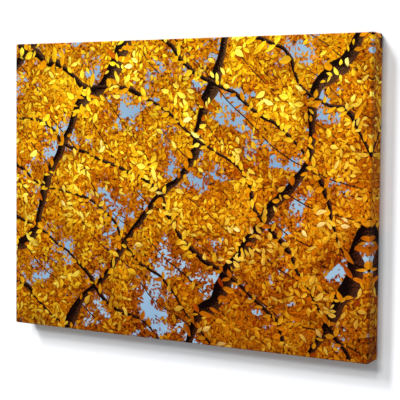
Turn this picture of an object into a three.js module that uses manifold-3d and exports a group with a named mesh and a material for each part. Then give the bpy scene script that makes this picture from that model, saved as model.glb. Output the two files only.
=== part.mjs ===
// A canvas picture stretched round a deep wooden frame and hung on a wall, in millimetres.
// X is the picture's width, Y runs from the room to the wall and Z is up.
// The origin is where the wall nail carries the hanger, in the plane of the wall.
import * as THREE from "three";
import { mergeVertices } from "three/addons/utils/BufferGeometryUtils.js";
import Module from "manifold-3d";

const wasm = await Module();
wasm.setup();

// The picture as hung
const width = 609.6;
const height = 457.2;
const depth = 38.1;
const hangDrop = 22; // from the top edge down to the nail
const wallGap = 3.2; // the bumpers hold the back this far off the wall
const seat = 0.3; // clearance between a piece and what it rests on

// The canvas
const cloth = 0.6;
const foldRadius = 2.2;
const foldSteps = 6;
const turnoverWidth = 30;
const foldLayers = 0.8; // the folded corner's spare cloth, pressed flat

// The wooden bars: a raised lip carries the canvas, and the face slopes away from it
const barWidth = 38;
const lipWidth = 7;
const lipStep = 3;
const faceSlope = 3;
const mitreTrim = seat / Math.SQRT2;

// The staples that hold the canvas to the back of the bars
const stapleCrown = 10;
const stapleWire = 0.6;
const stapleBreadth = 1.2;
const stapleLeg = 8;
const stapleInset = 15; // from the picture's edge to the crown
const staplePitch = 75;
const cornerClear = 42; // no staple is nearer to a corner than this
const stapleSkew = 4; // degrees, as a hand tacker leaves them

// The sawtooth hanger and its nails
const hangerLength = 50;
const hangerHeight = 10;
const hangerPlate = 1;
const hangerRise = 1.6;
const hangerArch = 14; // half the length between the end tabs
const hangerFlat = 12; // half the length of the toothed flat
const toothPitch = 3.2;
const toothDepth = 2.2;
const toothCount = 7;
const nailSpread = 19.5;
const nailLength = 12;
const nailPoint = 1.5;
const nailRadius = 0.7;
const nailHeadRadius = 2.3;
const nailHead = 0.9;
const nailHole = nailRadius + seat;
const roundSides = 16;

// The bumpers near the lower corners
const bumperRadius = 6.35;
const bumperFlat = 4.2;
const bumperSides = 24;
const bumperSteps = 4;
const bumperInset = 79.5; // from the picture's side, between two staples
const bumperRise = 15; // from its lower edge

const skin = cloth + seat;
const backPlane = -wallGap;
const frontPlane = backPlane - depth;
const middle = hangDrop - height / 2;
const nailHeight = hangerHeight / 2 - toothDepth; // above the nail that the picture hangs on

const looks = {
  print: { color: 0xd9951f, roughness: 0.62, metalness: 0 },
  primed: { color: 0xece8de, roughness: 0.8, metalness: 0 },
  pine: { color: 0xd9b98a, roughness: 0.7, metalness: 0 },
  steel: { color: 0xb8b9ba, roughness: 0.35, metalness: 1 },
  brass: { color: 0xc6a664, roughness: 0.35, metalness: 1 },
  rubber: { color: 0xd9d9d4, roughness: 0.5, metalness: 0 },
};

// Each side is drawn as the lower one, then turned about Y into its place.
const sides = [
  { name: "bottom", length: width, turn: 0, x: 0, z: -height / 2, folds: true },
  { name: "left", length: height, turn: Math.PI / 2, x: -width / 2, z: 0, folds: false },
  { name: "top", length: width, turn: Math.PI, x: 0, z: height / 2, folds: true },
  { name: "right", length: height, turn: -Math.PI / 2, x: width / 2, z: 0, folds: false },
];

function piece(name, geometry, look) {
  const mesh = new THREE.Mesh(geometry, new THREE.MeshStandardMaterial(looks[look]));
  mesh.name = name;
  return mesh;
}

// One quarter of a round, from one angle to the next
function arc(centre, radius, from, to, steps) {
  return Array.from({ length: steps + 1 }, (_, i) => {
    const angle = from + ((to - from) * i) / steps;
    return new THREE.Vector2(centre + radius * Math.cos(angle), centre + radius * Math.sin(angle));
  });
}

// Across a side, x of a section is the way in from the picture's edge and y the way back from its front.
function barSection() {
  const inner = skin + barWidth;
  return [
    ...arc(foldRadius, foldRadius - skin, Math.PI, Math.PI * 1.5, foldSteps),
    new THREE.Vector2(lipWidth, skin),
    new THREE.Vector2(lipWidth + lipStep, skin + lipStep),
    new THREE.Vector2(inner, skin + lipStep + faceSlope),
    new THREE.Vector2(inner, depth - skin),
    new THREE.Vector2(skin, depth - skin),
  ];
}

function sideClothSection() {
  const end = depth - cloth - seat;
  return [
    ...arc(foldRadius, foldRadius, Math.PI, Math.PI * 1.5, foldSteps),
    ...arc(foldRadius, foldRadius - cloth, Math.PI * 1.5, Math.PI, foldSteps),
    new THREE.Vector2(cloth, end),
    new THREE.Vector2(0, end),
  ];
}

function turnoverSection() {
  return [
    new THREE.Vector2(0, depth - cloth),
    new THREE.Vector2(turnoverWidth, depth - cloth),
    new THREE.Vector2(turnoverWidth, depth),
    new THREE.Vector2(0, depth),
  ];
}

// A section run along one side of the picture, with both ends cut at 45 degrees
function mitred(section, length) {
  const shape = new THREE.Shape(section);
  const geometry = new THREE.ExtrudeGeometry(shape, { depth: length, bevelEnabled: false });
  const place = geometry.getAttribute("position");
  for (let i = 0; i < place.count; i += 1) {
    const end = Math.sign(place.getZ(i) - length / 2);
    place.setZ(i, end * (length / 2 - place.getX(i) - mitreTrim));
  }
  geometry.rotateY(-Math.PI / 2);
  return geometry.translate(0, frontPlane, 0);
}

function solidOf(geometry) {
  const bare = geometry.clone();
  bare.deleteAttribute("normal");
  bare.deleteAttribute("uv");
  const merged = mergeVertices(bare);
  const vertProperties = new Float32Array(merged.getAttribute("position").array);
  const triVerts = new Uint32Array(merged.getIndex().array);
  return new wasm.Manifold(new wasm.Mesh({ numProp: 3, vertProperties, triVerts }));
}

function geometryOf(solid) {
  const mesh = solid.getMesh();
  const geometry = new THREE.BufferGeometry();
  geometry.setAttribute("position", new THREE.BufferAttribute(mesh.vertProperties, 3));
  geometry.setIndex(new THREE.BufferAttribute(mesh.triVerts, 1));
  return geometry;
}

function cut(geometry, cutters) {
  return geometryOf(cutters.reduce((solid, cutter) => solid.subtract(solidOf(cutter)), solidOf(geometry)));
}

// Places along a side, evenly spaced and clear of its corners, each with a slight turn
function staplePlaces(length) {
  const run = length - 2 * cornerClear;
  const count = Math.round(run / staplePitch) + 1;
  return Array.from({ length: count }, (_, i) => ({
    along: -run / 2 + (run * i) / (count - 1),
    turn: THREE.MathUtils.degToRad(stapleSkew * Math.sin(2.4 * i + length)),
  }));
}

// On the long sides the end staples sit on the folded corners, and the rest on the turnover itself.
function staplePlane(side, place) {
  const onFold = side.folds && Math.abs(place.along) > side.length / 2 - depth - stapleInset;
  return backPlane + (onFold ? seat + foldLayers : 0);
}

function atStaple(geometry, side, place) {
  return geometry.rotateY(place.turn).translate(place.along, staplePlane(side, place), stapleInset);
}

// A flat wire bent to a U: the crown lies on the cloth, and both legs run through it into the bar.
function stapleGeometry(side, place) {
  const half = stapleCrown / 2;
  const inside = half - stapleWire;
  const outline = new THREE.Shape([
    new THREE.Vector2(-half, -stapleLeg),
    new THREE.Vector2(-inside, -stapleLeg + stapleWire),
    new THREE.Vector2(-inside, -stapleWire),
    new THREE.Vector2(inside, -stapleWire),
    new THREE.Vector2(inside, -stapleLeg + stapleWire),
    new THREE.Vector2(half, -stapleLeg),
    new THREE.Vector2(half, 0),
    new THREE.Vector2(-half, 0),
  ]);
  const geometry = new THREE.ExtrudeGeometry(outline, { depth: stapleBreadth, bevelEnabled: false });
  geometry.translate(0, seat + stapleWire, -stapleBreadth / 2);
  return atStaple(geometry, side, place);
}

function legHoles(side, place) {
  const holeLength = stapleLeg + 2 * seat;
  return [-1, 1].map((end) => {
    const hole = new THREE.BoxGeometry(stapleWire + 2 * seat, holeLength, stapleBreadth + 2 * seat);
    const top = stapleWire + 2 * seat;
    hole.translate((end * (stapleCrown - stapleWire)) / 2, top - holeLength / 2, 0);
    return atStaple(hole, side, place);
  });
}

// The hanger's nails go through the upper cloth and into the upper bar, drawn as that side is.
function nailHoles() {
  const bottom = backPlane - nailLength - 2 * seat;
  return [-1, 1].map((end) => {
    const hole = new THREE.CylinderGeometry(nailHole, nailHole, -bottom, roundSides);
    return hole.translate(end * nailSpread, bottom / 2, hangDrop - nailHeight);
  });
}

// Spare cloth from the corner, folded over the end of a turnover: its one end runs down the mitre
// and its other end is the fold, which starts one depth away from the corner.
function cornerFold(side, end) {
  const mitre = side.length / 2 - mitreTrim;
  const fold = side.length / 2 - depth;
  const outline = new THREE.Shape([
    new THREE.Vector2(end * mitre, 0),
    new THREE.Vector2(end * fold, 0),
    new THREE.Vector2(end * (fold - turnoverWidth), turnoverWidth),
    new THREE.Vector2(end * (mitre - turnoverWidth), turnoverWidth),
  ]);
  const geometry = new THREE.ExtrudeGeometry(outline, { depth: foldLayers, bevelEnabled: false });
  return geometry.rotateX(Math.PI / 2).translate(0, backPlane + seat + foldLayers, 0);
}

function sideGroup(side) {
  const group = new THREE.Group();
  group.position.set(side.x, 0, side.z);
  group.rotation.y = side.turn;
  const places = staplePlaces(side.length);
  const legs = places.flatMap((place) => legHoles(side, place));
  const holes = [...legs, ...(side.name === "top" ? nailHoles() : [])];
  group.add(piece(`stretcher_bar_${side.name}`, cut(mitred(barSection(), side.length), holes), "pine"));
  group.add(piece(`canvas_side_${side.name}`, mitred(sideClothSection(), side.length), "print"));
  const turnover = cut(mitred(turnoverSection(), side.length), holes);
  group.add(piece(`canvas_turnover_${side.name}`, turnover, "primed"));
  if (side.folds) {
    group.add(piece(`corner_fold_${side.name}_1`, cut(cornerFold(side, -1), holes), "primed"));
    group.add(piece(`corner_fold_${side.name}_2`, cut(cornerFold(side, 1), holes), "primed"));
  }
  places.forEach((place, i) => {
    group.add(piece(`staple_${side.name}_${i + 1}`, stapleGeometry(side, place), "steel"));
  });
  return group;
}

function frontCloth() {
  const trim = 2 * (foldRadius + seat);
  const geometry = new THREE.BoxGeometry(width - trim, cloth, height - trim);
  const mesh = piece("canvas_front", geometry, "print");
  mesh.position.y = frontPlane + cloth / 2;
  return mesh;
}

// A strip that steps off the bar between its tabs, so that the wall nail's head fits behind it
function hangerStrip() {
  const half = hangerLength / 2;
  const under = [
    [half, 0],
    [hangerArch, 0],
    [hangerFlat, hangerRise],
    [-hangerFlat, hangerRise],
    [-hangerArch, 0],
    [-half, 0],
  ];
  const over = under.map(([x, y]) => [x, y + hangerPlate]).reverse();
  const outline = new THREE.Shape([...under, ...over].map(([x, y]) => new THREE.Vector2(x, y)));
  const geometry = new THREE.ExtrudeGeometry(outline, { depth: hangerHeight, bevelEnabled: false });
  return geometry.translate(0, backPlane + seat, -toothDepth);
}

function toothNotches() {
  const notch = new THREE.Shape([
    new THREE.Vector2(-toothPitch / 2, -toothDepth - seat),
    new THREE.Vector2(toothPitch / 2, -toothDepth - seat),
    new THREE.Vector2(toothPitch / 2, -toothDepth),
    new THREE.Vector2(0, 0),
    new THREE.Vector2(-toothPitch / 2, -toothDepth),
  ]);
  return Array.from({ length: toothCount }, (_, i) => {
    const geometry = new THREE.ExtrudeGeometry(notch, { depth: 2 * wallGap, bevelEnabled: false });
    geometry.rotateX(Math.PI / 2);
    return geometry.translate((i - (toothCount - 1) / 2) * toothPitch, wallGap / 2, 0);
  });
}

function tabHoles() {
  return [-1, 1].map((end) => {
    const hole = new THREE.CylinderGeometry(nailHole, nailHole, 2 * wallGap, roundSides);
    return hole.translate(end * nailSpread, backPlane + seat, nailHeight);
  });
}

function hangerNail(end) {
  const head = backPlane + 2 * seat + hangerPlate;
  const profile = [
    new THREE.Vector2(0, backPlane - nailLength),
    new THREE.Vector2(nailRadius, backPlane - nailLength + nailPoint),
    new THREE.Vector2(nailRadius, head),
    new THREE.Vector2(nailHeadRadius, head),
    new THREE.Vector2(nailHeadRadius * 0.8, head + nailHead * 0.75),
    new THREE.Vector2(0, head + nailHead),
  ];
  const geometry = new THREE.LatheGeometry(profile, roundSides);
  return geometry.translate(end * nailSpread, 0, nailHeight);
}

function hangerGroup() {
  const group = new THREE.Group();
  const strip = cut(hangerStrip(), [...toothNotches(), ...tabHoles()]);
  group.add(piece("sawtooth_hanger", strip, "brass"));
  group.add(piece("hanger_nail_left", hangerNail(-1), "steel"));
  group.add(piece("hanger_nail_right", hangerNail(1), "steel"));
  return group;
}

function bumper(name, end) {
  const rise = wallGap - seat;
  const round = bumperRadius - bumperFlat;
  const edge = Array.from({ length: bumperSteps + 1 }, (_, i) => {
    const angle = (Math.PI / 2) * (i / bumperSteps);
    return new THREE.Vector2(bumperFlat + round * Math.cos(angle), rise - round + round * Math.sin(angle));
  });
  const profile = [new THREE.Vector2(0, 0), new THREE.Vector2(bumperRadius, 0), ...edge, new THREE.Vector2(0, rise)];
  const mesh = piece(name, new THREE.LatheGeometry(profile, bumperSides), "rubber");
  mesh.position.set(end * (width / 2 - bumperInset), -rise, hangDrop - height + bumperRise);
  return mesh;
}

function stretchedCanvas() {
  const group = new THREE.Group();
  group.position.z = middle;
  group.add(frontCloth());
  sides.forEach((side) => group.add(sideGroup(side)));
  return group;
}

const picture = new THREE.Group();
picture.add(stretchedCanvas());
picture.add(hangerGroup());
picture.add(bumper("bumper_left", -1));
picture.add(bumper("bumper_right", 1));

export default picture;
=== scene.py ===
import math
import random

import bmesh
import bpy
from mathutils import Matrix, Vector


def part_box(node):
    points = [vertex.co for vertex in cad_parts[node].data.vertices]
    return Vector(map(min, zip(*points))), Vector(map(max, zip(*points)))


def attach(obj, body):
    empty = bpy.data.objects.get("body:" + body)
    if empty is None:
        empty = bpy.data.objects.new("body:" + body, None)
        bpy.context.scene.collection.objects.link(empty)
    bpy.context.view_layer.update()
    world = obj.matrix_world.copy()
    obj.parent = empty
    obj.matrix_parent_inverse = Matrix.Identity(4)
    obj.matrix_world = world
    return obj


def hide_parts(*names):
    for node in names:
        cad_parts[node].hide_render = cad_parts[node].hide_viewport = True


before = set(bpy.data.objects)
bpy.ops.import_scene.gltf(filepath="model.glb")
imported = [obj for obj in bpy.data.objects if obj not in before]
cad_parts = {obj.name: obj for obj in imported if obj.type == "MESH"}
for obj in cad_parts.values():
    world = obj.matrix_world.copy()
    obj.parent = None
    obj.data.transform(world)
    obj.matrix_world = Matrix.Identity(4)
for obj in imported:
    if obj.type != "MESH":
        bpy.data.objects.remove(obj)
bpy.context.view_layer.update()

# A canvas picture on a deep wooden frame, hung on a wall. X is its width, +Y goes into the wall, Z is up.
left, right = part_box("canvas_side_left")[0].x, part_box("canvas_side_right")[1].x
bottom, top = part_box("canvas_side_bottom")[0].z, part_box("canvas_side_top")[1].z
front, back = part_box("canvas_front")[0].y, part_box("canvas_turnover_top")[1].y
halfWidth, halfHeight, depth = (right - left) / 2, (top - bottom) / 2, back - front
middle = Vector(((left + right) / 2, 0, (top + bottom) / 2))
tiny, small, nearby = 1e-6, 1e-5, 1e-4  # metres within which a point counts as being at a place
print("frame loaded, picture", *(round(size, 4) for size in (halfWidth * 2, halfHeight * 2, depth)))


# Modelling by hand, in code: pick something, then use an operator on it

def deselectAll():
    if bpy.context.object and bpy.context.object.mode != "OBJECT":
        bpy.ops.object.mode_set(mode="OBJECT")
    bpy.ops.object.select_all(action="DESELECT")


def makeActive(piece):
    deselectAll()
    piece.select_set(True)
    bpy.context.view_layer.objects.active = piece


# Names the new primitive, settles its place in its mesh and opens it for editing
def startPiece(name):
    piece = bpy.context.object
    piece.name = piece.data.name = name
    bpy.ops.object.transform_apply()
    bpy.ops.object.mode_set(mode="EDIT")
    return piece


def addBox(name, low, high):
    deselectAll()
    low, high = Vector(low), Vector(high)
    bpy.ops.mesh.primitive_cube_add(size=1, calc_uvs=False, location=(low + high) / 2)
    bpy.context.object.scale = high - low
    return startPiece(name)


# A round piece whose axis runs from the front to the back
def addDisc(name, centre, radius, height, sides):
    deselectAll()
    bpy.ops.mesh.primitive_cylinder_add(vertices=sides, radius=radius, depth=height, calc_uvs=False,
                                        location=centre, rotation=(math.pi / 2, 0, 0))
    return startPiece(name)


# Kind is verts, edges or faces, and test says which of them to select
def pick(piece, kind, test):
    flags = [kind == name for name in ("verts", "edges", "faces")]
    bpy.context.tool_settings.mesh_select_mode = flags
    bpy.ops.mesh.select_all(action="DESELECT")
    mesh = bmesh.from_edit_mesh(piece.data)
    for part in getattr(mesh, kind):
        if test(part):
            part.select_set(True)
    mesh.select_flush_mode()
    bmesh.update_edit_mesh(piece.data)


def roundEdges(piece, test, width, steps):
    pick(piece, "edges", test)
    bpy.ops.mesh.bevel(offset=width, segments=steps, affect="EDGES")


def pushPoints(piece, test, way):
    pick(piece, "verts", test)
    bpy.ops.transform.translate(value=way)


def cutFaces(piece, test, point, normal):
    pick(piece, "faces", test)
    bpy.ops.mesh.bisect(plane_co=point, plane_no=normal, threshold=tiny)


# Cuts off what lies past the plane and closes the cut
def trimEnd(piece, point, normal):
    bpy.ops.mesh.select_all(action="SELECT")
    bpy.ops.mesh.bisect(plane_co=point, plane_no=normal, clear_outer=True, use_fill=True)


def addModifier(piece, kind, **settings):
    modifier = piece.modifiers.new(kind.title(), kind)
    for name, value in settings.items():
        setattr(modifier, name, value)
    makeActive(piece)
    bpy.ops.object.modifier_apply(modifier=modifier.name)


def easeEdges(piece, width, angle):
    addModifier(piece, "BEVEL", width=width, segments=2, limit_method="ANGLE",
                angle_limit=math.radians(angle))


def copyPiece(piece, name, matrix):
    other = piece.copy()
    other.data = piece.data.copy()
    other.name = other.data.name = name
    other.data.transform(matrix)
    bpy.context.scene.collection.objects.link(other)
    return other


def finishPiece(piece, nodes, material=None, smoothAngle=35):
    makeActive(piece)
    bpy.ops.object.shade_smooth_by_angle(angle=math.radians(smoothAngle))
    if material:
        piece.data.materials.clear()
        piece.data.materials.append(material)
    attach(piece, "root")
    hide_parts(*nodes)


# Node trees

# Links what is a socket and sets what is a value
def setInputs(node, inputs):
    for name, value in inputs.items():
        if isinstance(value, bpy.types.NodeSocket):
            node.id_data.links.new(value, node.inputs[name])
        else:
            node.inputs[name].default_value = value


def newNode(tree, kind, **settings):
    node = tree.nodes.new("ShaderNode" + kind)
    for name, value in settings.items():
        setattr(node, name, value)
    return node


# A node in the same tree as the sockets that lead into it
def addNode(kind, inputs, **settings):
    source = next(value for value in inputs.values() if isinstance(value, bpy.types.NodeSocket))
    node = newNode(source.id_data, kind, **settings)
    setInputs(node, inputs)
    return node


def calc(operation, *values, clamp=False):
    return addNode("Math", dict(enumerate(values)), operation=operation, use_clamp=clamp).outputs[0]


def times(value, factor):
    return calc("MULTIPLY", value, factor)


def minus(value, less):
    return calc("SUBTRACT", value, less)


def divide(value, divisor):
    return calc("DIVIDE", value, divisor)


def sizeOf(value):
    return calc("ABSOLUTE", value)


def timesPlus(value, factor, more, clamp=False):
    return calc("MULTIPLY_ADD", value, factor, more, clamp=clamp)


def vectorCalc(operation, *values):
    return addNode("VectorMath", dict(enumerate(values)), operation=operation).outputs[0]


# 0 below low and 1 above high, with a soft step between
def soften(value, low, high):
    inputs = {"Value": value, "From Min": low, "From Max": high}
    return addNode("MapRange", inputs, interpolation_type="SMOOTHSTEP").outputs["Result"]


def mixColour(factor, under, over, blend="MIX"):
    inputs = {0: factor, 6: under, 7: over}
    return addNode("Mix", inputs, data_type="RGBA", blend_type=blend).outputs[2]


def mixValue(factor, under, over):
    return addNode("Mix", {0: factor, 2: under, 3: over}).outputs[0]


def tinted(colour, tint):
    return mixColour(1.0, colour, tint, "MULTIPLY")


def vectorOf(x, y, z=0.0):
    return addNode("CombineXYZ", {"X": x, "Y": y, "Z": z}).outputs[0]


def partsOf(vector):
    return tuple(addNode("SeparateXYZ", {0: vector}).outputs)


# x and y of a vector turned about Z
def turnedParts(vector, angle, invert=False):
    node = addNode("VectorRotate", {"Vector": vector, "Angle": angle}, rotation_type="Z_AXIS", invert=invert)
    return partsOf(node.outputs[0])[:2]


def grey(value):
    return addNode("CombineColor", {0: value, 1: value, 2: value}).outputs[0]


def noise(point, scale, detail, **inputs):
    settings = {"Vector": point, "Scale": scale, "Detail": detail, **inputs}
    return addNode("TexNoise", settings, noise_dimensions="3D").outputs["Fac"]


# A colour named by its 0 to 255 screen values
def paint(red, green, blue):
    def linear(value):
        value /= 255
        return value / 12.92 if value <= 0.04045 else ((value + 0.055) / 1.055) ** 2.4
    return (linear(red), linear(green), linear(blue), 1.0)


def ramp(factor, stops):
    node = addNode("ValToRGB", {0: factor})
    elements = node.color_ramp.elements
    while len(elements) < len(stops):
        elements.new(0.5)
    for element, (place, colour) in zip(elements, stops):
        element.position = place
        element.color = colour
    return node.outputs["Color"]


def newGroup(name, inputs, outputs):
    tree = bpy.data.node_groups.new(name, "ShaderNodeTree")
    for direction, sockets in (("INPUT", inputs), ("OUTPUT", outputs)):
        for label, kind in sockets.items():
            tree.interface.new_socket(name=label, in_out=direction, socket_type="NodeSocket" + kind)
    return tree, tree.nodes.new("NodeGroupInput").outputs, tree.nodes.new("NodeGroupOutput")


def floats(*names):
    return {name: "Float" for name in names}


def useGroup(group, **inputs):
    return addNode("Group", inputs, node_tree=group).outputs


def newMaterial(name):
    material = bpy.data.materials.new(name)
    material.use_nodes = True
    tree = material.node_tree
    return material, tree, tree.nodes["Principled BSDF"]


def addBump(surface, height, strength, distance):
    bump = addNode("Bump", {"Strength": strength, "Distance": distance, "Height": height})
    setInputs(surface, {"Normal": bump.outputs[0]})


# A plain weave: warp and weft threads that pass over each other by turns

weaveLook = {"uneven": (160.0, 1.0), "dip": 0.6}  # how the threads vary, and how far each goes under


def makeWeaveGroup():
    tree, given, out = newGroup("plainWeave", {"Point": "Vector", **floats("Pitch", "Slub")},
                                floats("Height", "Thread"))
    uneven = noise(given["Point"], *weaveLook["uneven"])
    shift = times(minus(uneven, 0.5), given["Slub"])
    x, y, _ = partsOf(given["Point"])
    across = divide(calc("ADD", x, shift), given["Pitch"])
    along = divide(minus(y, shift), given["Pitch"])
    turnX, turnY = (times(value, math.pi) for value in (across, along))
    over = times(calc("COSINE", turnX), calc("COSINE", turnY))
    side = timesPlus(over, 0.5, 0.5)
    warp = sizeOf(calc("SINE", turnX))
    weft = sizeOf(calc("SINE", turnY))
    dip = weaveLook["dip"]
    warp = times(warp, timesPlus(side, dip, 1.0 - dip))
    weft = times(weft, timesPlus(side, -dip, 1.0))
    setInputs(out, {"Height": calc("MAXIMUM", warp, weft), "Thread": uneven})
    return tree


# The print's motifs: loose leaves, scattered by cells, and long arching sprigs with leaves on both sides

canopy = {
    "crowd": (12.0, 2.0), "ripe": (13.0, 1.0),
    "frillNoise": (60.0, 5.0), "frill": 0.75, "skyBelow": 0.395, "skyEdge": (-0.01, 0.015),
    "farNoise": (190.0, 4.0), "streakNoise": (420.0, 2.0), "streak": 1.6, "litBark": (1.25, 1.6),
    "speckleNoise": (420.0, 3.0), "speckle": (1.4, 0.3),
}
looseLeaf = {
    "spread": (7.31, 23.7),  # makes two more chances out of the third
    "sizes": (0.55, 0.65), "narrow": (0.5, 0.55), "taper": -0.4,
    "bend": 1.1, "bendAbout": 0.35,
    "toothPitch": 0.11, "toothSlant": 0.3, "toothDepth": 0.9,
    "edgeStart": 0.05, "shadow": (-0.9, 0.2),
    "ripeTone": 2.0, "tone": (0.6, 0.2),
    "rib": (0.02, 0.14), "ribShade": -0.13, "half": 0.12,
    "shade": 0.78, "halfShade": (0.34, -0.1), "lengthShade": (0.3, -0.15),
}


# One cell's leaf, as it reaches this point
def leafAt(given, moved, shift, cells):
    own = looseLeaf
    fromMiddle = {0: vectorCalc("SUBTRACT", moved, cells.outputs["Position"]), "Scale": given["Cells"]}
    inCells = addNode("VectorMath", fromMiddle, operation="SCALE").outputs[0]
    chance, size, third = partsOf(cells.outputs["Color"])
    fourth, fifth = (calc("FRACT", times(third, factor)) for factor in own["spread"])
    x, y = turnedParts(inCells, times(fourth, 2 * math.pi))
    grown = timesPlus(size, *own["sizes"])
    x = divide(x, times(grown, given["Length"]))
    # some leaves are seen more from the side, and all bend a little
    narrow = times(grown, timesPlus(fifth, *own["narrow"]))
    y = divide(y, times(narrow, given["Width"]))
    square = times(x, x)
    bend = times(minus(size, 0.5), own["bend"])
    y = timesPlus(minus(square, own["bendAbout"]), bend, y)
    outline = times(minus(1.0, square), timesPlus(x, own["taper"], 1.0))
    away = sizeOf(y)
    teeth = calc("PINGPONG", timesPlus(away, own["toothSlant"], x), own["toothPitch"])
    inside = timesPlus(teeth, own["toothDepth"], minus(outline, away))
    home = vectorCalc("SUBTRACT", cells.outputs["Position"], shift)
    crowd = minus(noise(home, *canopy["crowd"]), 0.5)
    cover = timesPlus(crowd, given["Clump"], given["Cover"])
    grows = calc("LESS_THAN", chance, cover)
    start = own["edgeStart"]
    blade = times(soften(inside, start, calc("ADD", given["Edge"], start)), grows)
    under = times(soften(inside, *own["shadow"]), grows)
    ripe = minus(noise(cells.outputs["Position"], *canopy["ripe"]), 0.5)
    tone = timesPlus(ripe, own["ripeTone"], timesPlus(third, *own["tone"]), clamp=True)
    rib = minus(1.0, soften(away, *own["rib"]))
    half = soften(y, -own["half"], own["half"])
    shade = timesPlus(half, timesPlus(fifth, *own["halfShade"]), own["shade"])
    shade = timesPlus(x, timesPlus(fourth, *own["lengthShade"]), shade)
    shade = timesPlus(rib, own["ribShade"], shade)
    return {"Leaf": blade, "Under": under, "Tone": tone, "Shade": shade, "order": size}


def makeLeafGroup():
    numbers = floats("Cells", "Shift", "Cover", "Clump", "Length", "Width", "Edge")
    tree, given, out = newGroup("looseLeaves", {"Point": "Vector", **numbers},
                                floats("Leaf", "Under", "Tone", "Shade"))
    shift = vectorOf(given["Shift"], given["Shift"])
    moved = vectorCalc("ADD", given["Point"], shift)
    # the nearest cell's leaf and the next one's, so that a leaf may reach over its neighbour
    scatter = {"Vector": moved, "Scale": given["Cells"], "Randomness": 0.9}
    first, second = (
        leafAt(given, moved, shift, addNode("TexVoronoi", scatter, voronoi_dimensions="2D", feature=feature))
        for feature in ("F1", "F2"))
    onTop = calc("GREATER_THAN", first["order"], second["order"])
    share = mixValue(onTop, minus(1.0, second["Leaf"]), first["Leaf"])
    most = {name: calc("MAXIMUM", first[name], second[name]) for name in ("Leaf", "Under")}
    mixed = {name: mixValue(share, second[name], first[name]) for name in ("Tone", "Shade")}
    setInputs(out, {**most, **mixed})
    return tree


sprigLeaf = {
    "drifts": ((5.0, 1.0), (24.0, 0.09)),  # how fine each wander of the stem is, and how strong
    "start": 0.12, "lean": (0.6, 0.6), "sizes": (0.45, 0.65), "blunt": 0.8, "shadow": (-0.7, 0.1),
    "swellNoise": (7.0, 2.0), "swell": (2.4, -0.3), "thinnest": 0.001, "stemEdge": 0.88,
    "rib": (0.03, 0.14), "ribShade": -0.14, "half": 0.1, "halfShade": (0.16, 0.8),
}


def makeSprigGroup():
    own = sprigLeaf
    numbers = floats("Spacing", "Pitch", "Length", "Width", "Stem", "Cover", "Wander", "Edge")
    tree, given, out = newGroup("archingSprigs", {"Point": "Vector", "Centre": "Vector", **numbers},
                                floats("Stem", "Side", "Leaf", "Under", "Tone", "Shade"))
    arm = vectorCalc("SUBTRACT", given["Point"], given["Centre"])
    reach = addNode("VectorMath", {0: arm}, operation="LENGTH").outputs["Value"]
    x, y, _ = partsOf(arm)
    angle = calc("ARCTAN2", y, x)
    for scale, share in own["drifts"]:
        drift = times(minus(noise(given["Point"], scale, 1.0), 0.5), share)
        reach = timesPlus(drift, given["Wander"], reach)
    ring = calc("FLOOR", divide(reach, given["Spacing"]))
    radius = times(calc("ADD", ring, 0.5), given["Spacing"])
    aside = minus(reach, radius)
    along = times(angle, radius)
    away = sizeOf(aside)
    cell = calc("FLOOR", divide(along, given["Pitch"]))
    spot = vectorOf(cell, ring, calc("SIGN", aside))
    chance = addNode("TexWhiteNoise", {"Vector": spot}, noise_dimensions="3D")
    tone, lean, size = partsOf(chance.outputs["Color"])
    step = minus(along, times(calc("ADD", cell, own["start"]), given["Pitch"]))
    turn = timesPlus(lean, *own["lean"])
    x, y = turnedParts(vectorOf(step, away), turn, invert=True)
    grown = timesPlus(size, *own["sizes"])
    x = divide(x, times(grown, given["Length"]))
    y = divide(y, times(grown, given["Width"]))
    blunt = calc("POWER", calc("MAXIMUM", x, 0.0), own["blunt"])
    outline = calc("SINE", times(blunt, math.pi))
    inside = minus(outline, sizeOf(y))
    within = calc("LESS_THAN", sizeOf(minus(x, 0.5)), 0.5)
    grows = times(within, calc("LESS_THAN", chance.outputs["Value"], given["Cover"]))
    leaf = times(soften(inside, 0.0, given["Edge"]), grows)
    under = times(soften(inside, *own["shadow"]), grows)
    # a stem thickens and thins out along its way, and is lost behind the leaves here and there
    swell = timesPlus(noise(given["Point"], *own["swellNoise"]), *own["swell"], clamp=True)
    thick = times(given["Stem"], calc("ADD", swell, own["thinnest"]))
    stem = minus(1.0, soften(away, times(thick, own["stemEdge"]), thick))
    rib = minus(1.0, soften(sizeOf(y), *own["rib"]))
    half = soften(y, -own["half"], own["half"])
    shade = timesPlus(rib, own["ribShade"], timesPlus(half, *own["halfShade"]))
    side = timesPlus(divide(aside, thick), 0.5, 0.5, clamp=True)
    setInputs(out, {"Stem": stem, "Side": side, "Leaf": leaf, "Under": under, "Tone": tone, "Shade": shade})
    return tree


weaveGroup = makeWeaveGroup()
leafGroup = makeLeafGroup()
sprigGroup = makeSprigGroup()
print("node groups made")

canvas = {
    "frontRadius": 0.0022, "frontSteps": 6,
    "cornerRadius": 0.0023, "cornerSteps": 5,
    "backRadius": 0.0012, "backSteps": 3,
    "turnover": 0.030,
    "thickness": 0.00045,
    "foldRise": 0.0008, "foldStep": 0.0008,
    "foldStart": 0.003, "foldFull": 0.008,
    "edgeCuts": 70, "edgeFray": 0.0004,
    "bleed": 0.005, "sideStretch": 1.7,
    "weavePitch": 0.0008,
}
foldAxis = canvas["frontRadius"] * (math.pi / 4 - 1)  # past the flat edge, the print turns back here

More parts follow.
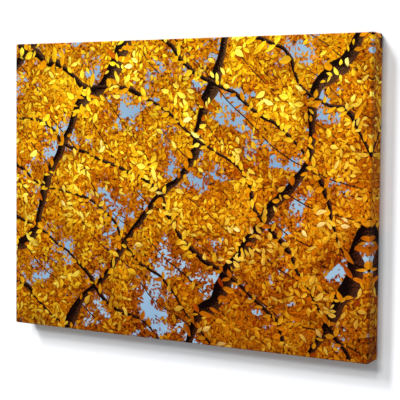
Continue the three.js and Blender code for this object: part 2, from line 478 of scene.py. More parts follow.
pen = {
    "skyHigh": paint(111, 144, 175), "skyLow": paint(145, 171, 189),
    "bark": paint(16, 6, 5), "barkPale": paint(74, 46, 28),
    "dusk": paint(40, 13, 3), "gap": paint(26, 8, 4), "umber": paint(96, 42, 6), "rust": paint(168, 66, 4),
    "brown": paint(172, 94, 4), "amber": paint(212, 126, 4), "gold": paint(232, 166, 14),
    "yellow": paint(246, 206, 40), "lemon": paint(254, 232, 92), "cream": paint(255, 242, 146),
}
leafTones = {
    "far": [(0.39, "gap"), (0.44, "umber"), (0.50, "brown"), (0.57, "amber"), (0.68, "gold")],
    "deep": [(0.0, "umber"), (0.2, "rust"), (0.45, "amber"), (0.9, "gold")],
    "low": [(0.0, "rust"), (0.15, "brown"), (0.4, "amber"), (0.8, "gold")],
    "middle": [(0.0, "rust"), (0.15, "amber"), (0.45, "gold"), (0.85, "yellow")],
    "high": [(0.0, "amber"), (0.25, "gold"), (0.6, "yellow"), (0.95, "lemon")],
    "front": [(0.0, "gold"), (0.3, "yellow"), (0.7, "lemon"), (0.98, "cream")],
}


def toneRamp(factor, name):
    return ramp(factor, [(place, pen[tone]) for place, tone in leafTones[name]])


# Lays one layer of leaves over what is under it, with their shadow round them
def layLeaves(under, layer, tones, shadow):
    shaded = tinted(toneRamp(layer["Tone"], tones), grey(layer["Shade"]))
    under = mixColour(times(layer["Under"], shadow), under, pen["dusk"])
    return mixColour(layer["Leaf"], under, shaded)


def layStems(under, layer, streaks):
    lit = soften(timesPlus(streaks, canopy["streak"], layer["Side"]), *canopy["litBark"])
    return mixColour(layer["Stem"], under, mixColour(lit, pen["bark"], pen["barkPale"]))


looseLayers = {
    "deep": dict(Cells=200.0, Shift=3.1, Cover=0.58, Clump=2.4, Length=0.86, Width=0.48, Edge=0.6),
    "low": dict(Cells=172.0, Shift=7.7, Cover=0.52, Clump=2.4, Length=0.84, Width=0.44, Edge=0.5),
    "middle": dict(Cells=142.0, Shift=12.3, Cover=0.42, Clump=2.2, Length=0.82, Width=0.42, Edge=0.4),
    "high": dict(Cells=114.0, Shift=21.9, Cover=0.26, Clump=2.0, Length=0.8, Width=0.4, Edge=0.3),
    "front": dict(Cells=84.0, Shift=28.4, Cover=0.06, Clump=1.2, Length=0.74, Width=0.36, Edge=0.2),
}
sprigLayers = {
    "fine": dict(Centre=(0.62, 0.74, 0.0), Spacing=0.052, Pitch=0.011, Length=0.011, Width=0.0026,
                 Stem=0.0010, Cover=0.7, Wander=0.07, Edge=0.3),
    "slim": dict(Centre=(-0.50, -0.66, 0.0), Spacing=0.095, Pitch=0.016, Length=0.018, Width=0.0042,
                 Stem=0.0037, Cover=0.62, Wander=0.14, Edge=0.25),
    "stout": dict(Centre=(-0.95, 0.60, 0.0), Spacing=0.17, Pitch=0.019, Length=0.019, Width=0.0046,
                  Stem=0.0090, Cover=0.4, Wander=0.16, Edge=0.25),
}


# All the foliage, from the far leaves to the brightest ones on top, and where it covers the sky
def leafPrint(point):
    masks = []

    def loose(under, name, shadow):
        layer = useGroup(leafGroup, Point=point, **looseLayers[name])
        masks.append(layer["Leaf"])
        return layLeaves(under, layer, name, shadow)

    def sprigs(name):
        layer = useGroup(sprigGroup, Point=point, **sprigLayers[name])
        masks.extend([layer["Leaf"], layer["Stem"]])
        return layer

    crowd = noise(point, *canopy["crowd"])
    frill = minus(noise(point, *canopy["frillNoise"], Roughness=0.7), 0.5)
    ragged = timesPlus(frill, canopy["frill"], crowd)
    far = toneRamp(noise(point, *canopy["farNoise"], Roughness=0.75), "far")
    streaks = noise(point, *canopy["streakNoise"])
    fine, slim, stout = (sprigs(name) for name in ("fine", "slim", "stout"))
    colour = loose(far, "deep", 0.3)
    colour = layLeaves(colour, fine, "low", 0.15)
    colour = loose(colour, "low", 0.3)
    colour = layStems(colour, fine, streaks)
    colour = loose(colour, "middle", 0.28)
    colour = layStems(colour, stout, streaks)
    colour = layStems(colour, slim, streaks)
    colour = layLeaves(colour, stout, "middle", 0.25)
    colour = layLeaves(colour, slim, "high", 0.25)
    colour = loose(colour, "high", 0.28)
    colour = loose(colour, "front", 0.35)
    speckle = noise(point, *canopy["speckleNoise"], Roughness=0.7)
    colour = tinted(colour, grey(timesPlus(speckle, *canopy["speckle"])))
    masks.append(soften(ragged, *(canopy["skyBelow"] + edge for edge in canopy["skyEdge"])))
    cover = masks[0]
    for mask in masks[1:]:
        cover = calc("MAXIMUM", cover, mask)
    return colour, cover


# Past the fold the print runs back the way it came, drawn out a little
def mirrored(value, half):
    size = sizeOf(value)
    past = calc("MAXIMUM", minus(size, half + foldAxis), 0.0)
    turned = timesPlus(past, -1 - 1 / canvas["sideStretch"], size)
    return times(turned, calc("SIGN", value))


grade = {
    "sunNoise": (13.0, 5.0), "sunEdge": (0.38, 0.62),
    "shaded": (0.66, 0.52, 0.46, 1), "sunlit": (1.12, 1.12, 1.06, 1),
    "rise": (2.2, 0.5),
    "fade": [(0.0, (0.54, 0.46, 0.34, 1)), (0.5, (1.00, 0.98, 0.90, 1)), (1.0, (1.26, 1.48, 1.40, 1))],
    "warmSlope": -1.2, "warmEdge": (-0.15, 0.35), "warm": (0.91, 0.70, 0.80, 1),
    "skyNoise": (4.0, 2.0), "skyEdge": (0.3, 0.7),
    "primer": (paint(226, 222, 212), paint(246, 243, 236)),
    "rough": (0.2, 0.56), "threadRough": 0.16, "shine": 0.01, "slub": 0.0006, "bump": (0.35, 0.00012),
}


def makePrintMaterial():
    material, tree, surface = newMaterial("printedCanvas")
    cloth = newNode(tree, "UVMap", uv_map="clothMap").outputs[0]
    u, v, _ = partsOf(cloth)
    point = vectorOf(mirrored(u, halfWidth), mirrored(v, halfHeight))
    colour, cover = leafPrint(point)
    # sun on some boughs and shade on others, deeper lower down and redder towards the lower right
    x, y, _ = partsOf(point)
    sun = soften(noise(point, *grade["sunNoise"], Roughness=0.65), *grade["sunEdge"])
    light = mixColour(sun, grade["shaded"], grade["sunlit"])
    fade = ramp(timesPlus(y, *grade["rise"]), grade["fade"])
    warm = soften(timesPlus(y, grade["warmSlope"], x), *grade["warmEdge"])
    warm = mixColour(warm, (1, 1, 1, 1), grade["warm"])
    for tint in (light, fade, warm):
        colour = tinted(colour, tint)
    haze = soften(noise(point, *grade["skyNoise"]), *grade["skyEdge"])
    colour = mixColour(cover, mixColour(haze, pen["skyHigh"], pen["skyLow"]), colour)
    ways = ((u, halfWidth), (v, halfHeight))
    beyond = (minus(sizeOf(way), half + depth + canvas["bleed"]) for way, half in ways)
    past = calc("GREATER_THAN", calc("MAXIMUM", *beyond), 0.0)
    weave = useGroup(weaveGroup, Point=cloth, Pitch=canvas["weavePitch"], Slub=grade["slub"])
    primer = mixColour(weave["Thread"], *grade["primer"])
    rough = timesPlus(weave["Thread"], grade["threadRough"], timesPlus(past, *grade["rough"]))
    setInputs(surface, {"Base Color": mixColour(past, colour, primer), "Roughness": rough,
                        "Specular IOR Level": grade["shine"]})
    addBump(surface, weave["Height"], *grade["bump"])
    return material


rawCloth = {
    "thin": 1300.0, "long": 7.0, "threads": (1.1, -0.6), "slub": 0.0008,
    "dark": paint(200, 189, 164), "pale": paint(232, 223, 203), "odd": paint(206, 192, 166), "oddShare": 0.2,
    "seed": paint(140, 112, 76), "seedNoise": (900.0, 2.0), "seedEdge": (0.72, 0.78), "seedShare": 0.4,
    "rough": 0.9, "sheen": 0.2, "bump": (0.5, 0.0002),
}


def makeRawClothMaterial():
    own = rawCloth
    material, tree, surface = newMaterial("rawCanvas")
    cloth = newNode(tree, "UVMap", uv_map="clothMap").outputs[0]
    weave = useGroup(weaveGroup, Point=cloth, Pitch=canvas["weavePitch"], Slub=own["slub"])
    u, v, _ = partsOf(cloth)
    # odd threads, thicker or darker than the rest, run both ways through the cloth
    thinU, longU, thinV, longV = (times(way, own[name]) for way in (u, v) for name in ("thin", "long"))
    warp = noise(vectorOf(thinU, longV), 1.0, 3.0, Roughness=0.6)
    weft = noise(vectorOf(longU, thinV, 5.0), 1.0, 3.0, Roughness=0.6)
    threads = timesPlus(calc("ADD", warp, weft), *own["threads"], clamp=True)
    linen = mixColour(threads, own["dark"], own["pale"])
    linen = mixColour(times(weave["Thread"], own["oddShare"]), linen, own["odd"])
    seeds = soften(noise(cloth, *own["seedNoise"]), *own["seedEdge"])
    linen = mixColour(times(seeds, own["seedShare"]), linen, own["seed"])
    setInputs(surface, {"Base Color": linen, "Roughness": own["rough"], "Sheen Weight": own["sheen"]})
    addBump(surface, weave["Height"], *own["bump"])
    return material


printedCanvas = makePrintMaterial()
rawCanvas = makeRawClothMaterial()


# The canvas: one cloth over the front, the sides and the back of the bars

# How far along the cloth a point is from the picture's middle, from its place in the section
def wrapAlong(half, inward, behind):
    near, far = canvas["frontRadius"], canvas["backRadius"]
    if behind < near and inward < near:
        return half - near + near * math.atan2(near - inward, near - behind)
    if behind <= 0:
        return half - inward
    sideStart = half - near + near * math.pi / 2
    if behind <= depth - far:
        return sideStart + behind - near
    backStart = sideStart + depth - far - near
    if inward < far:
        return backStart + far * math.atan2(behind - depth + far, far - inward)
    return backStart + far * math.pi / 2 + inward - far


# How far round the upright corner a point is, and then how far along the long side's edge
def cornerTurn(inX, inZ):
    radius = canvas["cornerRadius"]
    if inX < radius:
        return halfHeight - radius + radius * math.atan2(radius - inZ, max(radius - inX, tiny / 1000))
    return halfHeight - radius + radius * math.pi / 2 + inX - radius


# Inward from the nearer side, inward from the top or bottom, and back from the front
def placeOf(point):
    return halfWidth - abs(point.x - middle.x), halfHeight - abs(point.z - middle.z), point.y - front


# The point's place on the flat cloth; a folded corner shows the cloth that runs on from the short side
def clothUv(point, normal, centre):
    inX, inZ, behind = placeOf(point)
    x, z = point.x - middle.x, point.z - middle.z
    signX = math.copysign(1, centre.x - middle.x)
    signZ = math.copysign(1, centre.z - middle.z)
    midX, midZ, midBehind = placeOf(centre)
    radius = canvas["cornerRadius"]
    folded = midX < midBehind + midZ and (midZ < canvas["backRadius"] or midX > midZ)
    if normal.y < -0.98:
        return x, z
    near = canvas["frontRadius"]
    if midBehind < near and midX < radius and midZ < radius:
        outX, outZ = max(0.0, near - inX), max(0.0, near - inZ)
        reach = math.hypot(outX, outZ)
        turned = math.atan2(reach, near - behind) * near / max(reach, tiny / 1000)
        return signX * (halfWidth - near + turned * outX), signZ * (halfHeight - near + turned * outZ)
    if midBehind < near:
        u = signX * wrapAlong(halfWidth, inX, behind) if midX < radius else x
        v = signZ * wrapAlong(halfHeight, inZ, behind) if midZ < radius else z
        return u, v
    onCorner = midX < radius and midZ < radius
    longSide = midZ < midX
    if onCorner or (longSide and folded):
        u = wrapAlong(halfWidth, 0.0, behind) + max(0.0, inZ - canvas["backRadius"])
        return signX * u, signZ * cornerTurn(inX, inZ)
    if longSide:
        return x, signZ * wrapAlong(halfHeight, inZ, behind)
    return signX * wrapAlong(halfWidth, inX, behind), z


# How far the spare cloth under a folded corner lifts a point
def foldLift(point, normal):
    inX, inZ, behind = placeOf(point)
    reach = behind + inZ
    ramped = min(1.0, max(0.0, (reach - canvas["foldStart"]) / (canvas["foldFull"] - canvas["foldStart"])))
    if inX > reach - canvas["foldStep"] + small:
        return 0.0
    if normal.y > 0.9 and inX < inZ + canvas["foldStep"] - small:
        return 0.0
    onSide = 1 - abs(normal.x) ** 2
    return canvas["foldRise"] * ramped * onSide


# Edges where the corner folds begin: along each long side, round its back edge and over the turnover
def cutFoldLines(piece):
    step, near = canvas["foldStep"], canvas["backRadius"]
    isLongSide = lambda face: abs(face.normal.z) > 0.99
    isTurnover = lambda face: face.normal.y > 0.99
    isBackRound = lambda face: (0.05 < face.normal.y < 0.99 and abs(face.normal.z) > 0.1
                                and abs(face.normal.x) < 0.02)
    cutFaces(piece, isLongSide, (0, front + canvas["foldFull"], 0), (0, 1, 0))
    for signX in (-1, 1):
        sideX = middle.x + signX * halfWidth
        for late in (0.0, step):
            start = Vector((sideX - signX * (depth - near - late), back - near, 0))
            cutFaces(piece, isLongSide, start, (signX, 1, 0))
            for signZ in (-1, 1):
                edgeZ = middle.z + signZ * halfHeight
                atSide = Vector((start.x, start.y, edgeZ))
                atBack = Vector((sideX - signX * (depth + near - late), back, edgeZ - signZ * near))
                upper = lambda face: isBackRound(face) and face.normal.z * signZ > 0
                cutFaces(piece, upper, atSide, (atBack - atSide).cross(Vector((0, 1, signZ))))
                upper = lambda face: isTurnover(face) and (face.calc_center_median().z - middle.z) * signZ > 0
                cutFaces(piece, upper, atBack, (signX, 0, -signZ))
        for signZ in (-1, 1):
            corner = Vector((sideX, back, middle.z + signZ * halfHeight))
            nearCorner = lambda face: isTurnover(face) and (face.calc_center_median() - corner).length < 0.06
            for late in (0.0, step):
                cutFaces(piece, nearCorner, corner - Vector((signX * late, 0, 0)), (signX, 0, -signZ))


# The cut edge of the turnover isn't quite straight
def frayEdge(piece):
    pick(piece, "edges", lambda edge: edge.is_boundary and edge.calc_length() > 0.1)
    bpy.ops.mesh.subdivide(number_cuts=canvas["edgeCuts"])
    chance = random.Random(4)
    cut = canvas["turnover"]
    mesh = bmesh.from_edit_mesh(piece.data)
    for vertex in mesh.verts:
        if vertex.is_boundary:
            inX, inZ, _ = placeOf(vertex.co)
            push = canvas["edgeFray"] * chance.uniform(-1, 1)
            if abs(inX - cut) < nearby and inZ > cut + nearby:
                vertex.co.x += push
            elif abs(inZ - cut) < nearby and inX > cut + nearby:
                vertex.co.z += push
    bmesh.update_edit_mesh(piece.data)


def mapCloth(piece):
    mesh = bmesh.from_edit_mesh(piece.data)
    layer = mesh.loops.layers.uv.new("clothMap")
    mesh.normal_update()
    for face in mesh.faces:
        centre = face.calc_center_median()
        for loop in face.loops:
            loop[layer].uv = clothUv(loop.vert.co, face.normal, centre)
    bmesh.update_edit_mesh(piece.data)


def liftFolds(piece):
    mesh = bmesh.from_edit_mesh(piece.data)
    mesh.normal_update()
    for vertex in list(mesh.verts):
        inX, inZ, behind = placeOf(vertex.co)
        if min(inX, inZ) > canvas["turnover"] + 0.001 or behind < canvas["foldStart"]:
            continue
        normal = vertex.normal.copy()
        if behind > depth - tiny and inZ > canvas["backRadius"] - tiny:
            normal = Vector((0, 1, 0))
        lift = foldLift(vertex.co, normal)
        if lift:
            vertex.co += Vector((0, normal.y, normal.z)).normalized() * lift
    bmesh.update_edit_mesh(piece.data)


def makeCanvas():
    piece = addBox("canvas", (left, front, bottom), (right, back, top))
    isUpright = lambda edge: abs(edge.verts[0].co.y - edge.verts[1].co.y) > depth / 2
    roundEdges(piece, isUpright, canvas["cornerRadius"], canvas["cornerSteps"])
    inFront = lambda edge: all(v.co.y < front + tiny for v in edge.verts)
    roundEdges(piece, inFront, canvas["frontRadius"], canvas["frontSteps"])
    behind = lambda edge: all(v.co.y > back - tiny for v in edge.verts)
    roundEdges(piece, behind, canvas["backRadius"], canvas["backSteps"])
    isBack = lambda face: face.normal.y > 0.99
    turnover = canvas["turnover"]
    for signX in (-1, 1):
        edge = middle.x + signX * (halfWidth - turnover)
        cutFaces(piece, isBack, (edge, back, 0), (1, 0, 0))
    for signZ in (-1, 1):
        edge = middle.z + signZ * (halfHeight - turnover)
        cutFaces(piece, isBack, (0, back, edge), (0, 0, 1))
    inOpening = lambda face: min(placeOf(face.calc_center_median())[:2]) > turnover + 0.01
    pick(piece, "faces", lambda face: isBack(face) and inOpening(face))
    bpy.ops.mesh.delete(type="FACE")
    cutFoldLines(piece)
    frayEdge(piece)
    mapCloth(piece)
    liftFolds(piece)
    bpy.ops.object.mode_set(mode="OBJECT")
    for material in (printedCanvas, rawCanvas):
        piece.data.materials.append(material)
    addModifier(piece, "SOLIDIFY", thickness=canvas["thickness"], offset=-1, material_offset=1,
                material_offset_rim=1, use_even_offset=True)
    nodes = [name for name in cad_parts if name.startswith(("canvas_", "corner_fold"))]
    finishPiece(piece, nodes)
    addModifier(piece, "WEIGHTED_NORMAL", keep_sharp=True)


makeCanvas()
print("canvas stretched")


# Pine, with the grain along the bar

pine = {
    "finger": 0.0045, "fingerReach": 2.2, "joint": 0.0022, "block": 0.23, "shift": 0.3,
    "alongLog": 0.06, "bendNoise": (9.0, 2.0), "bend": 0.09, "slant": (0.8, 0.6), "rings": 210.0, "late": 3.0,
    "fibre": (12.0, 900.0), "rough": (-0.12, 0.72), "bump": (0.4, 0.0002),
    "pale": paint(232, 204, 158), "warm": paint(216, 180, 128),
    "overlays": {"late": (0.55, paint(190, 138, 82)), "fibre": (0.25, paint(244, 224, 188)),
                 "joint": (0.5, paint(120, 84, 48))},
}


def makePineGroup():
    tree, given, out = newGroup("pineGrain", {"Point": "Vector", "Block": "Float"},
                                {"Colour": "Color", **floats("Height", "Rough")})
    along, across, deep = partsOf(given["Point"])
    # the bar is made up of blocks, joined end to end by fingers
    finger = calc("PINGPONG", deep, pine["finger"])
    spot = divide(timesPlus(finger, pine["fingerReach"], along), given["Block"])
    block = calc("FLOOR", spot)
    joint = minus(1.0, soften(calc("PINGPONG", spot, 0.5), 0.0, pine["joint"]))
    chance = addNode("TexWhiteNoise", {"W": block}, noise_dimensions="1D")
    tone, shiftY, shiftZ = partsOf(chance.outputs["Color"])
    y = timesPlus(shiftY, pine["shift"], across)
    z = timesPlus(shiftZ, pine["shift"], deep)
    log = vectorOf(times(along, pine["alongLog"]), y, z)
    bend = times(noise(log, *pine["bendNoise"]), pine["bend"])
    slantY, slantZ = pine["slant"]
    level = calc("ADD", bend, timesPlus(y, slantY, times(z, slantZ)))
    rings = calc("FRACT", times(level, pine["rings"]))
    late = calc("POWER", rings, pine["late"])
    long, fine = pine["fibre"]
    strands = vectorOf(times(along, long), times(y, fine), times(z, fine))
    fibre = noise(strands, 1.0, 2.0)
    colour = mixColour(tone, pine["pale"], pine["warm"])
    masks = {"late": late, "fibre": fibre, "joint": joint}
    for name, (share, tint) in pine["overlays"].items():
        colour = mixColour(times(masks[name], share), colour, tint)
    setInputs(out, {"Colour": colour, "Height": timesPlus(late, 0.5, fibre),
                    "Rough": timesPlus(late, *pine["rough"])})
    return tree


pineGroup = makePineGroup()


def makePineMaterial(name, turn, shift):
    material, tree, surface = newMaterial(name)
    place = newNode(tree, "TexCoord").outputs["Object"]
    lined = addNode("Mapping", {"Vector": place, "Rotation": (0, turn, 0), "Location": (shift, 0, 0)})
    grain = useGroup(pineGroup, Point=lined.outputs[0], Block=pine["block"])
    setInputs(surface, {"Base Color": grain["Colour"], "Roughness": grain["Rough"]})
    addBump(surface, grain["Height"], *pine["bump"])
    return material


bar = {
    "lip": 0.007, "lipStep": 0.003, "faceSlope": 0.003, "nearFront": 0.01,
    "frontRound": 0.0014, "frontSteps": 4, "eased": 0.0007, "tip": 0.0017,
    "mitreGap": 0.00015,
}


# The lower or the left bar, from its solid's box; inward is up or to the right
def makeBar(node, upright):
    low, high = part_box(node)
    piece = addBox("visual_" + node, low, high)
    inward = Vector((1, 0, 0)) if upright else Vector((0, 0, 1))
    outside = low.x if upright else low.z
    reach = lambda point: point.dot(inward) - outside
    isFront = lambda face: face.normal.y < -0.99
    skin = outside - (left if upright else bottom)
    lip, foot = bar["lip"] - skin, bar["lip"] + bar["lipStep"] - skin
    for line in (lip, foot):
        cutFaces(piece, isFront, inward * (outside + line), inward)
    pastLip = lambda v: v.co.y < low.y + tiny and reach(v.co) > lip + small
    pushPoints(piece, pastLip, (0, bar["lipStep"], 0))
    pastFoot = lambda v: v.co.y < low.y + bar["nearFront"] and reach(v.co) > foot + small
    pushPoints(piece, pastFoot, (0, bar["faceSlope"], 0))
    isOuter = lambda edge: all(v.co.y < low.y + tiny and reach(v.co) < tiny for v in edge.verts)
    roundEdges(piece, isOuter, bar["frontRound"], bar["frontSteps"])
    for end in (-1, 1):
        if upright:
            corner, mitre, outward = (left, 0, middle.z + end * halfHeight), (1, 0, end), (-1, 0, end)
        else:
            corner, mitre, outward = (middle.x + end * halfWidth, 0, bottom), (end, 0, 1), (end, 0, -1)
        for normal, less in ((mitre, "mitreGap"), (outward, "tip")):
            trimEnd(piece, Vector(corner) - Vector(normal).normalized() * bar[less], normal)
    bpy.ops.mesh.select_all(action="SELECT")
    bpy.ops.mesh.normals_make_consistent(inside=False)
    easeEdges(piece, bar["eased"], 35)
    return piece


def makeBars():
    turned = Matrix.Translation(middle) @ Matrix.Rotation(math.pi, 4, "Y") @ Matrix.Translation(-middle)
    lower = makeBar("stretcher_bar_bottom", False)
    upper = copyPiece(lower, "visual_stretcher_bar_top", turned)
    leftBar = makeBar("stretcher_bar_left", True)
    rightBar = copyPiece(leftBar, "visual_stretcher_bar_right", turned)
    looks = [(lower, 0, 0.07), (upper, 0, 0.19), (leftBar, math.pi / 2, 0.31), (rightBar, math.pi / 2, 0.44)]
    for piece, turn, shift in looks:
        node = piece.name.removeprefix("visual_")
        material = makePineMaterial("pine_" + node.rsplit("_", 1)[1], turn, shift)
        finishPiece(piece, [node], material)


makeBars()
print("bars made")


# Fittings

fittingLooks = {  # two close tones in a fine mottle, which also sets how rough the surface is
    "zincWire": {"tones": (paint(150, 152, 156), paint(206, 208, 210)), "mottle": (700.0, 3.0),
                 "rough": (0.25, 0.25), "metal": 1.0, "bump": (0.2, 0.00005)},
    "brassPlate": {"tones": (paint(196, 158, 88), paint(226, 194, 128)), "mottle": (500.0, 3.0),
                   "rough": (0.25, 0.22), "metal": 1.0, "bump": (0.2, 0.00005)},
    "bumperRubber": {"tones": (paint(206, 206, 198), paint(226, 226, 220)), "mottle": (400.0, 3.0),
                     "rough": (0.2, 0.35), "metal": 0.0, "bump": (0.15, 0.0001)},
}


def makeFittingMaterial(name):
    own = fittingLooks[name]
    material, tree, surface = newMaterial(name)
    marks = noise(newNode(tree, "TexCoord").outputs["Object"], *own["mottle"])
    setInputs(surface, {"Base Color": mixColour(marks, *own["tones"]), "Metallic": own["metal"],
                        "Roughness": timesPlus(marks, *own["rough"])})
    addBump(surface, marks, *own["bump"])
    return material


zinc, brass, rubber = (makeFittingMaterial(name) for name in fittingLooks)

staple = {"crown": 0.010, "wire": 0.0006, "breadth": 0.0012, "leg": 0.008, "round": 0.00016,
          "skew": 4.0, "sway": (2.4, 2000)}


# One staple at the origin: its crown along X, its outer face at Y = 0 and its legs towards -Y
def makeStaple():
    half, wire, breadth = staple["crown"] / 2, staple["wire"], staple["breadth"]
    piece = addBox("visual_staple", (-half, -wire, -breadth / 2), (half, 0, breadth / 2))
    for end in (-1, 1):
        cutFaces(piece, lambda face: True, (end * (half - wire), 0, 0), (1, 0, 0))
    isLeg = lambda face: face.normal.y < -0.9 and abs(face.calc_center_median().x) > half - wire
    pick(piece, "faces", isLeg)
    bpy.ops.mesh.extrude_region_move(TRANSFORM_OT_translate={"value": (0, wire - staple["leg"], 0)})
    isInside = lambda v: v.co.y < -staple["leg"] / 2 and abs(v.co.x) < half - wire / 2
    pushPoints(piece, isInside, (0, wire, 0))
    easeEdges(piece, staple["round"], 40)
    return piece


def placeStaples():
    model = makeStaple()
    turns = {"bottom": 0, "left": math.pi / 2, "top": math.pi, "right": -math.pi / 2}
    for node in sorted(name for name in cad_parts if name.startswith("staple_")):
        _, side, number = node.split("_")
        low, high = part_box(node)
        halfSide = halfWidth if side in ("bottom", "top") else halfHeight
        step, start = staple["sway"]
        sway = math.sin(step * (int(number) - 1) + start * halfSide)
        turn = turns[side] + math.radians(staple["skew"] * sway)
        spot = Vector(((low.x + high.x) / 2, high.y, (low.z + high.z) / 2))
        place = Matrix.Translation(spot) @ Matrix.Rotation(turn, 4, "Y")
        finishPiece(copyPiece(model, "visual_" + node, place), [node], zinc)
    bpy.data.objects.remove(model)


placeStaples()
print("staples driven")

hanger = {
    "arch": 0.014, "flat": 0.012, "rise": 0.0016, "plate": 0.001,
    "pitch": 0.0032, "depth": 0.0022, "teeth": 7, "round": 0.00018,
    "nailHead": 0.0023, "nailShank": 0.0007, "headHeight": 0.0009, "nailTip": 0.0015, "tipShare": 0.1,
    "dome": ((0.2, 0.32), (0.35, 0.18)),  # each step's inset and rise, as shares of the head
}


def makeHanger():
    low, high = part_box("sawtooth_hanger")
    piece = addBox("visual_sawtooth_hanger", low, (high.x, low.y + hanger["plate"], high.z))
    bends = [end * hanger[name] for name in ("arch", "flat") for end in (-1, 1)]
    count = hanger["teeth"]
    teeth = [hanger["pitch"] * (i - count) / 2 for i in range(2 * count + 1)]
    for x in sorted(bends + teeth):
        cutFaces(piece, lambda face: True, (x, 0, 0), (1, 0, 0))
    pushPoints(piece, lambda v: abs(v.co.x) < hanger["flat"] + small, (0, hanger["rise"], 0))
    inNotch = lambda v: v.co.z < low.z + tiny and min(abs(v.co.x - x) for x in teeth[1::2]) < small
    pushPoints(piece, inNotch, (0, 0, hanger["depth"]))
    easeEdges(piece, hanger["round"], 40)
    finishPiece(piece, ["sawtooth_hanger"], brass, smoothAngle=25)


# A round head pressed from its wire, with a slight dome, and the shank behind it
def makeNail(node):
    low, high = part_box(node)
    centre = (low + high) / 2
    head, height, tip = hanger["nailHead"], hanger["headHeight"], hanger["nailTip"]
    headLow = high.y - height
    piece = addDisc("visual_" + node, (centre.x, headLow + height / 4, centre.z), head, height / 2, 32)
    for inset, rise in hanger["dome"]:
        pick(piece, "faces", lambda face: len(face.verts) > 8 and face.normal.y > 0.9)
        bpy.ops.mesh.inset(thickness=head * inset)
        bpy.ops.transform.translate(value=(0, height * rise, 0))
    pick(piece, "faces", lambda face: len(face.verts) > 8 and face.normal.y < -0.9)
    bpy.ops.mesh.inset(thickness=head - hanger["nailShank"])
    bpy.ops.mesh.extrude_region_move(TRANSFORM_OT_translate={"value": (0, low.y - headLow + tip, 0)})
    bpy.ops.mesh.extrude_region_move(TRANSFORM_OT_translate={"value": (0, -tip, 0)})
    bpy.ops.transform.resize(value=(hanger["tipShare"], 1, hanger["tipShare"]))
    finishPiece(piece, [node], zinc, smoothAngle=50)


bumper = {"domeShare": 0.72, "steps": 6}


# A soft dome with a flat where it meets the wall
def makeBumper(node):
    low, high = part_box(node)
    rise = high.y - low.y
    piece = addDisc("visual_" + node, (low + high) / 2, (high.x - low.x) / 2, rise, 40)
    isOuter = lambda edge: all(v.co.y > high.y - tiny for v in edge.verts)
    roundEdges(piece, isOuter, rise * bumper["domeShare"], bumper["steps"])
    finishPiece(piece, [node], rubber, smoothAngle=60)


makeHanger()
for nail in ("hanger_nail_left", "hanger_nail_right"):
    makeNail(nail)
for pad in ("bumper_left", "bumper_right"):
    makeBumper(pad)
print("fittings made")


# The wall that the picture hangs on, a pale floor far below, soft light and the camera

stage = {
    "wallHalf": 2.4, "wallTop": 1.5, "wallGap": 0.0003, "floorDrop": 1.55, "floorHalf": 30.0,
    "wallPaint": (0.752, 0.770, 0.79, 1), "floorPaint": (0.56, 0.56, 0.56, 1),
    "world": 0.40, "backdrop": 0.80,
    "suns": {  # where each light comes from, how strong it is and how wide, in degrees
        "keyLight": ((-0.86, -1.60, 1.66), 1.45, 9),
        "lowKeyLight": ((-0.86, -1.60, 1.20), 0.95, 9),
        "topLight": ((0.00, -1.60, 1.20), 0.58, 8),
        "fillLight": ((-0.36, -2.20, 1.10), 0.72, 8),
        "frontLight": ((-0.20, -2.20, 1.00), 0.45, 12),
        "backLight": ((0.50, 2.20, 1.40), 1.7, 30),
    },
}


def addPlane(name, low, high, upright):
    deselectAll()
    bpy.ops.mesh.primitive_plane_add(size=1, calc_uvs=False)
    piece = bpy.context.object
    piece.name = name
    if upright:
        piece.rotation_euler = (math.pi / 2, 0, 0)
    piece.scale = (high[0] - low[0], high[1] - low[1], 1)
    x, other = (low[0] + high[0]) / 2, (low[1] + high[1]) / 2
    piece.location = (x, stage["wallGap"], other) if upright else (x, other, -stage["floorDrop"])
    bpy.ops.object.transform_apply()
    return piece


# Plain paint with no shine, in the stage's colour of the same name
def makePaint(name):
    material, tree, surface = newMaterial(name)
    setInputs(surface, {"Base Color": stage[name], "Roughness": 0.9, "Specular IOR Level": 0.0})
    return material, tree, surface


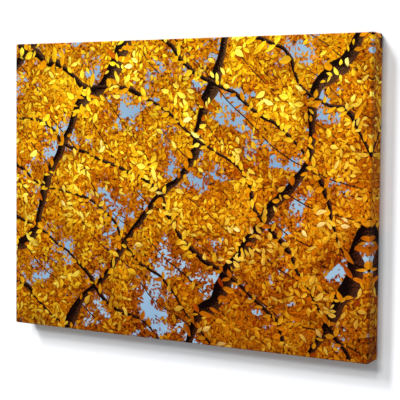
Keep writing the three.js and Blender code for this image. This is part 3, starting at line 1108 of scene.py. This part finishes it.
# Seen and lit from the room only: from behind it isn't there
def makeWall():
    half = stage["wallHalf"]
    wall = addPlane("wall", (-half, -stage["floorDrop"]), (half, stage["wallTop"]), True)
    material, tree, surface = makePaint("wallPaint")
    clear = newNode(tree, "BsdfTransparent")
    seen = newNode(tree, "NewGeometry").outputs["Backfacing"]
    cover = addNode("MixShader", {0: seen, 1: surface.outputs[0], 2: clear.outputs[0]})
    setInputs(tree.nodes["Material Output"], {"Surface": cover.outputs[0]})
    wall.data.materials.append(material)
    wall.visible_shadow = False


def makeFloor():
    size = stage["floorHalf"]
    floor = addPlane("floor", (-size, -size), (size, size), False)
    floor.data.materials.append(makePaint("floorPaint")[0])
    floor.visible_diffuse = False


def addSun(name, direction, strength, width):
    lamp = bpy.data.lights.new(name, "SUN")
    lamp.energy, lamp.angle = strength, math.radians(width)
    holder = bpy.data.objects.new(name, lamp)
    holder.location = direction
    holder.rotation_euler = Vector(direction).to_track_quat("Z", "Y").to_euler()
    bpy.context.scene.collection.objects.link(holder)


def makeWorld():
    world = bpy.data.worlds.new("studio")
    bpy.context.scene.world = world
    world.use_nodes = True
    tree = world.node_tree
    seen = newNode(tree, "LightPath").outputs["Is Camera Ray"]
    strength = mixValue(seen, stage["world"], stage["backdrop"])
    setInputs(tree.nodes["Background"], {0: (1, 1, 1, 1), 1: strength})


view = {
    "eye": (0.7841, -1.4251, -0.1069), "turn": 28.41, "tilt": -2.92, "roll": 0.53,
    "focalPixels": 1057.4, "pixels": 400, "shiftPixels": (2.0, -21.0), "film": 36,
}


def makeCamera():
    camera = bpy.data.cameras.new("camera")
    camera.sensor_width = view["film"]
    camera.lens = view["film"] * view["focalPixels"] / view["pixels"]
    camera.shift_x = view["shiftPixels"][0] / view["pixels"]
    camera.shift_y = view["shiftPixels"][1] / view["pixels"]
    holder = bpy.data.objects.new("camera", camera)
    turn = Matrix.Rotation(math.radians(view["turn"]), 4, "Z")
    tilt = Matrix.Rotation(math.radians(90 + view["tilt"]), 4, "X")
    roll = Matrix.Rotation(math.radians(view["roll"]), 4, "Z")
    holder.matrix_world = Matrix.Translation(view["eye"]) @ turn @ tilt @ roll
    bpy.context.scene.collection.objects.link(holder)
    bpy.context.scene.camera = holder


makeWall()
makeFloor()
makeWorld()
for name, settings in stage["suns"].items():
    addSun(name, *settings)
makeCamera()
bpy.context.scene.view_settings.view_transform = "Standard"
print("stage set")
